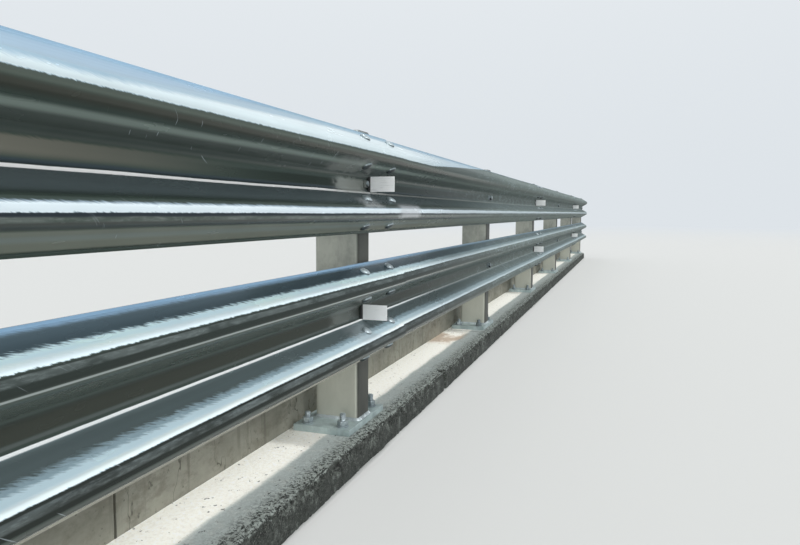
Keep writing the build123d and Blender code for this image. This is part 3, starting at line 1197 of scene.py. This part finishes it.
@dataclass
class PostBolts:
    """Bolt that holds a tier's rail to each post: head in the valley, nut behind the post.

    The head stands on a plate washer and a small collar, or is a low button on the delineator's foot.
    """

    tier: Tier
    material: bpy.types.Material
    plate_size: Triple = (70.0 * MM, 26.0 * MM, 4.0 * MM)
    plate_ease: float = 1.0 * MM
    head_height: float = 11.0 * MM
    collar_radius: float = 12.8 * MM
    collar_height: float = 2.0 * MM
    button_radius: float = 10.0 * MM
    button_height: float = 4.0 * MM
    button_rim: float = 1.0 * MM
    washer_radius: float = 16.0 * MM
    end_length: float = 26.0 * MM
    seed: int = 23

    def build(self) -> None:
        """Builds all of the tier's post bolts as one piece."""
        random = np.random.default_rng(self.seed)
        plates, heads, buttons, backs = [], [], [], []
        for station in STATIONS:
            if station in SPLICE_STATIONS:
                foot = SHEET + (NEST_STEP + DELINEATOR_SHEET)
                buttons.append(place((station, -foot, self.tier.centre), TO_FRONT))
            else:
                foot = SHEET + self.plate_size[2]
                plates.append(place((station, -SHEET, self.tier.centre), TO_FRONT))
                heads.append(place((station, -foot, self.tier.centre), TO_FRONT, random.uniform(0.0, 1.0)))
            backs.append(place((station, POST_BACK, self.tier.centre), TO_BACK, random.uniform(0.0, 1.0)))
        plate = slab(self.plate_size, self.plate_ease)
        head = nut_on_washer(self.collar_radius, self.collar_height, NUT_ACROSS, self.head_height)
        button = dome(self.button_radius, self.button_height, self.button_rim)
        nut = nut_on_washer(self.washer_radius, WASHER_THICKNESS, NUT_ACROSS, NUT_HEIGHT)
        back = Shape.joined([nut, thread(BOLT_RADIUS, self.end_length, BOLT_PITCH)])
        parts = [plate.moved(plates), head.moved(heads), button.moved(buttons), back.moved(backs)]
        Shape.joined(parts).piece(f"{self.tier.value}_post_bolts", "fasteners", self.material)


@dataclass
class RootShadowBlocks:
    """Black block between the rail and each delineator of a tier, on the side from which it is seen: painted shade
    in the gap at the sheet's root.
    """

    tier: Tier
    material: bpy.types.Material
    size: Triple = (10.0 * MM, 44.0 * MM, 5.0 * MM)
    ease: float = 0.8 * MM

    def build(self) -> None:
        """Builds all of the tier's blocks as one piece, each against the front of its lap."""
        places = []
        for number in range(1, len(SPLICE_STATIONS) + 1):
            low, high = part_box(f"{self.tier.value}_delineator_{number}")
            face = high.x if self.tier is Tier.UPPER else low.x + DELINEATOR_SHEET
            spot = (face - self.size[0] / 2, -(SHEET + NEST_STEP), self.tier.centre)
            places.append(place(spot, TO_FRONT))
        root_shadows = slab(self.size, self.ease).moved(places)
        root_shadows.piece(f"{self.tier.value}_delineator_root_shadows", "delineator", self.material)


@dataclass
class Anchors:
    """Four threaded studs with nuts and washers that hold each base plate to the kerb."""

    material: bpy.types.Material
    stud_radius: float = 9.5 * MM
    stud_height: float = 40.0 * MM
    shortest: float = 0.85
    longest: float = 1.05
    pitch: float = 2.5 * MM
    washer_radius: float = 19.0 * MM
    washer_thickness: float = 3.5 * MM
    nut_across: float = 30.0 * MM
    nut_height: float = 16.0 * MM
    seed: int = 5

    def build(self) -> None:
        """Builds all anchors as one piece, each stud with its own height and turn."""
        random = np.random.default_rng(self.seed)
        middle = (PLATE_BOX[0].y + PLATE_BOX[1].y) / 2
        nut = nut_on_washer(self.washer_radius, self.washer_thickness, self.nut_across, self.nut_height)
        parts = []
        for station in STATIONS:
            for along in (-0.5, 0.5):
                for across in (-0.5, 0.5):
                    spot = (station + along * ANCHORS_ALONG, middle + across * ANCHORS_ACROSS, PLATE_TOP)
                    turn = place(spot, UPWARD, random.uniform(0.0, math.pi / 3))
                    height = self.stud_height * random.uniform(self.shortest, self.longest)
                    stud = thread(self.stud_radius, height, self.pitch)
                    parts.append(Shape.joined([nut, stud]).moved([turn]))
        Shape.joined(parts).piece("anchor_studs", "fasteners", self.material)


@dataclass
class Welds:
    """Weld beads round the foot of each post and round its cap.

    ripple is the way from one ripple to the next and ripple_share its share of a leg; hollow and curve shape
    the bead's face, and buried is where its root lies, in legs out from the post's face.
    """

    material: bpy.types.Material
    foot_leg: float = 8.0 * MM
    cap_leg: float = 1.8 * MM
    ripple: float = 5.0 * MM
    ripple_share: float = 0.08
    unevenness: float = 0.06
    hollow: float = 0.75
    curve: float = 1.3
    buried: float = -0.15
    corner: float = 12.0 * MM
    face_steps: int = 5
    side_steps: int = 40
    first_cap_seed: int = 20

    def bead(self, width: float, depth: float, corner: float, leg: float, seed: int) -> Shape:
        """Bead along a rounded rectangle: a bulged triangle between wall and plate, its legs rippled along the way.

        Args:
            width: Size of the rectangle along X.
            depth: Size along Y.
            corner: Its corner radius.
            leg: Length of the bead's legs.
            seed: Seed of its unevenness.

        Returns:
            The bead, with its foot on Z = 0.
        """
        points, normals = rounded_loop(width, depth, corner, self.side_steps)
        step = np.linalg.norm(np.roll(points, -1, axis=0) - points, axis=1)
        way = np.concatenate([[0.0], np.cumsum(step)[:-1]])
        uneven = np.random.default_rng(seed).normal(0.0, self.unevenness, len(way))
        size = leg * (1.0 + self.ripple_share * np.cos(2 * math.pi * way / self.ripple) + uneven)
        turn = np.linspace(0.0, math.pi / 2, self.face_steps)[1:-1]
        outward = 1.0 - self.hollow * np.sin(turn) ** self.curve
        upward = 1.0 - self.hollow * np.cos(turn) ** self.curve
        outward = np.concatenate([[self.buried, 1.0], outward, [0.0, self.buried]])
        upward = np.concatenate([[0.0, 0.0], upward, [1.0, 1.0]])
        reach = size[:, None] * outward[None, :]
        flat = points[:, None, :] + normals[:, None, :] * reach[..., None]
        height = size[:, None] * upward[None, :]
        return Shape.grid(np.concatenate([flat, height[..., None]], -1), True, True)

    def build(self) -> None:
        """Builds all beads as one piece."""
        depth = POST_BACK - POST_FRONT
        middle = (POST_FRONT + POST_BACK) / 2
        inset = (POST_WIDTH - (CAP_BOX[1].x - CAP_BOX[0].x)) / 2
        cap_size = (POST_WIDTH - 2 * inset, depth - 2 * inset, self.corner - inset)
        parts = []
        for number, station in enumerate(STATIONS):
            foot = self.bead(POST_WIDTH, depth, self.corner, self.foot_leg, number)
            cap = self.bead(*cap_size, self.cap_leg, self.first_cap_seed + number)
            parts += [foot.shifted(station, middle, PLATE_TOP), cap.shifted(station, middle, CAP_BOX[0].z)]
        Shape.joined(parts).piece("post_welds", "galvanised_plate", self.material, crease=60.0)


def rough_noise(along: np.ndarray, across: np.ndarray, cell: float, layers: int, seed: int) -> np.ndarray:
    """Noise from 0 to 1: random values at the corners of square cells, eased between them, in several layers.

    Each layer has half the cell and half the strength of the last.

    Args:
        along: First coordinate of each point.
        across: Second coordinate.
        cell: Side of the first layer's cells.
        layers: Number of layers.
        seed: Seed of the first layer.

    Returns:
        The noise at each point.
    """
    weights = 0.5 ** np.arange(layers)
    total = np.zeros_like(along)
    for number, weight in enumerate(weights):
        i, j = along / (cell * weight), across / (cell * weight)
        row, column = np.floor(i).astype(int), np.floor(j).astype(int)
        row, i = row - row.min(), i - np.floor(i)
        column, j = column - column.min(), j - np.floor(j)
        i, j = i * i * (3 - 2 * i), j * j * (3 - 2 * j)
        values = np.random.default_rng(seed + number).random((row.max() + 2, column.max() + 2))
        low = values[row, column] * (1 - i) + values[row + 1, column] * i
        high = values[row, column + 1] * (1 - i) + values[row + 1, column + 1] * i
        total = total + weight * (low * (1 - j) + high * j)
    return total / weights.sum()


@dataclass
class Kerb:
    """One length of kerb with a broken arris and a rough front face, worn inwards from the plain block.

    pitch is the step along X; face_steps, arris_steps and top_steps count the points of the section. The wear
    of face, arris and top is the deepest there, wear_cell and pit_cell are the coarsest cells of the two
    noises. The broken arris goes back by edge_reach and down by edge_drop, and the pits go back by front_reach;
    edge_ease and front_ease are the lengths over which they set in.
    """

    node: str
    pitch: float
    seed: int
    material: bpy.types.Material
    arris: float = 15.0 * MM
    face_wear: float = 5.0 * MM
    arris_wear: float = 12.0 * MM
    top_wear: float = 1.2 * MM
    wear_cell: float = 70.0 * MM
    pit_cell: float = 16.0 * MM
    pit_depth: float = 5.0 * MM
    edge_reach: float = 30.0 * MM
    edge_drop: float = 60.0 * MM
    edge_ease: float = 50.0 * MM
    front_reach: float = 90.0 * MM
    front_ease: float = 60.0 * MM
    notch_place: float = -3.18
    notch_width: float = 12.0 * MM
    notch_depth: float = 22.0 * MM
    face_steps: int = 18
    arris_steps: int = 9
    top_steps: int = 32

    def section(self) -> np.ndarray:
        """Section round the plain block with a rounded arris, from the back's foot to the back's top.

        Returns:
            Four rows: Y, Z and the two parts of the outward normal.
        """
        low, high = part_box(self.node)
        turn = np.linspace(0.0, math.pi / 2, self.arris_steps)[1:-1]
        face, top = np.ones(self.face_steps), np.ones(self.top_steps)
        way = np.linspace(0.0, 1.0, self.top_steps) ** 1.5
        top_y = low.y + self.arris + (high.y - low.y - self.arris) * way
        y = np.concatenate([[high.y], face * low.y, low.y + self.arris * (1 - np.cos(turn)), top_y])
        face_z = np.linspace(low.z, high.z - self.arris, self.face_steps)
        z = np.concatenate([[low.z], face_z, high.z - self.arris * (1 - np.sin(turn)), top * high.z])
        normal_y = np.concatenate([[0.0], -face, -np.cos(turn), 0.0 * top])
        normal_z = np.concatenate([[0.0], 0.0 * face, np.sin(turn), top])
        return np.array([y, z, normal_y, normal_z])

    def worn(self, x: np.ndarray, section: np.ndarray) -> np.ndarray:
        """How deep the block is worn: its face's wear times rough noise, pits where a fine noise is high, a notch.

        Args:
            x: Places along X.
            section: The section's rows.

        Returns:
            Depths, a row for each place and a column for each point of the section.
        """
        low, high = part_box(self.node)
        y, z, _, normal_z = section
        way = np.concatenate([[0.0], np.cumsum(np.hypot(np.diff(y), np.diff(z)))])
        along, across = np.meshgrid(x, way, indexing="ij")
        coarse = rough_noise(along, across, self.wear_cell, layers=4, seed=self.seed)
        fine = rough_noise(along, across, self.pit_cell, layers=2, seed=self.seed + 10)
        edge = np.clip((z - high.z + self.edge_drop) / self.edge_ease, 0.0, 1.0)
        edge = np.exp(-(((y - low.y) / self.edge_reach) ** 2)) * edge
        front = np.clip((low.y + self.front_reach - y) / self.front_ease, 0.0, 1.0)
        wear = np.where(normal_z > 0.99, self.top_wear, self.face_wear) + self.arris_wear * edge
        pits = np.clip((fine - 0.60) / 0.12, 0.0, 1.0)
        notch = np.exp(-(((x - self.notch_place) / self.notch_width) ** 2))[:, None] * front[None, :]
        depth = wear[None, :] * np.clip(1.6 * coarse - 0.35, 0.0, 1.0)
        depth = depth + self.pit_depth * (0.35 + 0.65 * edge)[None, :] * front[None, :] * pits
        depth = depth + self.notch_depth * notch
        depth[:, :1] = 0.0
        return depth

    def build(self) -> None:
        """Builds the length as the section carried along X, each point pushed inwards by its wear."""
        low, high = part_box(self.node)
        x = np.linspace(low.x, high.x, max(8, round((high.x - low.x) / self.pitch)))
        section = self.section()
        y, z, normal_y, normal_z = section[:, None, :]
        depth = self.worn(x, section)
        along = np.repeat(x[:, None], depth.shape[1], axis=1)
        grid = np.stack([along, y - normal_y * depth, np.maximum(z - normal_z * depth, low.z)], -1)
        hub = np.repeat(grid.mean(axis=1)[:, None, :], depth.shape[1], axis=1)
        made = Shape.grid(np.concatenate([hub[:1], grid, hub[-1:]]), False, True)
        piece = made.piece(f"{self.node}_cast", "kerb_concrete", self.material, crease=60.0)
        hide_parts(self.node)


@dataclass(frozen=True)
class Lamp:
    """One soft lamp that lights the whole length alike.

    travel is the direction in which its light goes and spread how wide it looks, in degrees; a wider lamp
    is softer.
    """

    name: str
    travel: Triple
    strength: float
    spread: float

    def build(self) -> None:
        """Adds the lamp."""
        data = bpy.data.lights.new(self.name, "SUN")
        data.energy = self.strength
        data.angle = math.radians(self.spread)
        made = bpy.data.objects.new(self.name, data)
        made.rotation_euler = Vector(self.travel).to_track_quat("-Z", "Y").to_euler()
        bpy.context.scene.collection.objects.link(made)


LAMPS = (
    Lamp("overhead", (-0.234, 0.07, -1.0), 1.15, 2.5),
    Lamp("high_fill", (1.0, 0.0, -0.6), 0.6, 30.0),
    Lamp("low_fill", (1.0, 0.3, 0.0), 0.75, 16.0),
    Lamp("front_fill", (0.15, 1.0, -0.9), 1.4, 22.0),
)


@dataclass(frozen=True)
class Studio:
    """Pale floor, soft lamps and the camera where the object was seen from."""

    horizon: Colour = paint(222, 228, 233)
    zenith: Colour = paint(240, 244, 247)
    floor: Colour = paint(208, 209, 207)
    floor_half: float = 200.0
    haze_start: float = 9.0
    haze_end: float = 40.0
    ambient: float = 0.5
    eye: Triple = (-6.010, -0.806, 0.7785)
    turn: float = math.radians(18.78)
    dip: float = math.radians(-5.13)
    roll: float = math.radians(0.39)
    focal_pixels: float = 674.6
    frame_pixels: float = 800.0
    sensor: float = 36.0
    nearest: float = 0.02
    furthest: float = 500.0

    def camera(self) -> None:
        """Makes the camera from its place, its turn from +X towards +Y, its dip and its roll."""
        flat = math.cos(self.dip)
        forward = Vector((flat * math.cos(self.turn), flat * math.sin(self.turn), math.sin(self.dip)))
        right = forward.cross(Vector(UPWARD)).normalized()
        upright = right.cross(forward)
        level, steep = math.cos(self.roll), math.sin(self.roll)
        rolled = level * right + steep * upright
        above = level * upright - steep * right
        data = bpy.data.cameras.new("camera")
        data.sensor_width = self.sensor
        data.lens = self.focal_pixels * self.sensor / self.frame_pixels
        data.clip_start = self.nearest
        data.clip_end = self.furthest
        made = bpy.data.objects.new("camera", data)
        columns = Matrix((rolled, above, -forward)).transposed().to_4x4()
        made.matrix_world = Matrix.Translation(Vector(self.eye)) @ columns
        bpy.context.scene.collection.objects.link(made)
        bpy.context.scene.camera = made

    def shown(self, painter: Painter) -> Field:
        """Tells rays that look from rays that gather light.

        Args:
            painter: Painter of the tree that asks.

        Returns:
            1 for a camera, mirrored or passing ray, else 0.
        """
        kinds = ("Camera", "Glossy", "Transmission")
        path = [painter.node("ShaderNodeLightPath", {}, {}, f"Is {kind} Ray") for kind in kinds]
        return path[0].at_least(path[1]).at_least(path[2])

    def world(self) -> None:
        """Pale backdrop that brightens upwards; what lights the object is weaker than what shows."""
        world = bpy.data.worlds.new("pale_backdrop")
        world.use_nodes = True
        bpy.context.scene.world = world
        painter = Painter(world.node_tree)
        direction = painter.node("ShaderNodeTexCoord", {}, {}, "Generated")
        height = painter.node("ShaderNodeSeparateXYZ", {}, {0: direction}, "Z")
        colour = painter.blend(height.rise(0.0, 0.8), self.horizon, self.zenith)
        strength = self.shown(painter) * (1.0 - self.ambient) + self.ambient
        background = world.node_tree.nodes["Background"]
        world.node_tree.links.new(colour.socket, background.inputs["Color"])
        world.node_tree.links.new(strength.socket, background.inputs["Strength"])

    def ground(self) -> None:
        """Wide plain floor whose far part looks like the backdrop, and lights nothing more for it."""
        coat = Coat("studio_floor")
        coat.feed("Base Color", self.floor)
        coat.feed("Roughness", 0.9)
        glow = coat.node("ShaderNodeEmission", {}, {"Color": self.horizon, "Strength": 1.0})
        reach = coat.node("ShaderNodeVectorMath", {"operation": "LENGTH"}, {0: coat.place()}, "Value")
        shader = Field(coat, coat.shader.outputs[0])
        far = reach.rise(self.haze_start, self.haze_end) * self.shown(coat)
        mixed = coat.node("ShaderNodeMixShader", {}, {0: far, 1: shader, 2: glow})
        output = coat.tree.nodes["Material Output"]
        coat.tree.links.new(mixed.socket, output.inputs["Surface"])
        half = self.floor_half
        mesh = bpy.data.meshes.new("studio_floor")
        corners = [(-half, -half, -MM), (half, -half, -MM), (half, half, -MM), (-half, half, -MM)]
        mesh.from_pydata(corners, [], [(0, 1, 2, 3)])
        mesh.materials.append(coat.material)
        made = bpy.data.objects.new("studio_floor", mesh)
        bpy.context.scene.collection.objects.link(made)

    def build(self) -> None:
        """Sets up the stage."""
        bpy.context.scene.view_settings.view_transform = "Standard"
        self.camera()
        self.world()
        self.ground()
        for lamp in LAMPS:
            lamp.build()


def dress_nodes(prefix: str, material: bpy.types.Material) -> None:
    """Gives every frame node whose name starts with the prefix a material.

    Args:
        prefix: Start of the nodes' names.
        material: The material.
    """
    for name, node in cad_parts.items():
        if name.startswith(prefix):
            node.data.materials.clear()
            node.data.materials.append(material)
            LOG.info("%s: %s", name, material.name)


def main() -> None:
    """Builds the pieces in order, dresses the frame and sets the stage."""
    logging.basicConfig(level=logging.INFO, format="%(message)s")
    dress_nodes("upper_rail", RailFinish(Tier.UPPER, UPPER_REFLECTION_BANDS, UPPER_REFLECTION_PATCHES).material())
    dress_nodes("lower_rail", RailFinish(Tier.LOWER, LOWER_REFLECTION_BANDS, LOWER_REFLECTION_PATCHES).material())
    dress_nodes("post_", POST_ZINC.material())
    dress_nodes("base_plate_", PLATE_ZINC.material())
    dress_nodes("back_wall_", WallFinish().material())
    kerb = KerbFinish().material()
    dress_nodes("kerb_", kerb)
    zinc = BOLT_ZINC.material()
    root_shadow_finish = RootShadowFinish().material()
    for tier, creases in ((Tier.UPPER, 0.45), (Tier.LOWER, 0.15)):
        dress_nodes(f"{tier.value}_delineator", ReflectorFinish(tier, creases).material())
        SpliceBolts(tier, zinc).build()
        PostBolts(tier, zinc).build()
        RootShadowBlocks(tier, root_shadow_finish).build()
    Anchors(zinc).build()
    Welds(WELD_ZINC.material()).build()
    for number, pitch in ((1, 3.6 * MM), (2, 6.0 * MM), (3, 9.0 * MM)):
        Kerb(f"kerb_{number}", pitch, 100 * number, kerb).build()
    Studio().build()


if __name__ == "__main__":
    main()
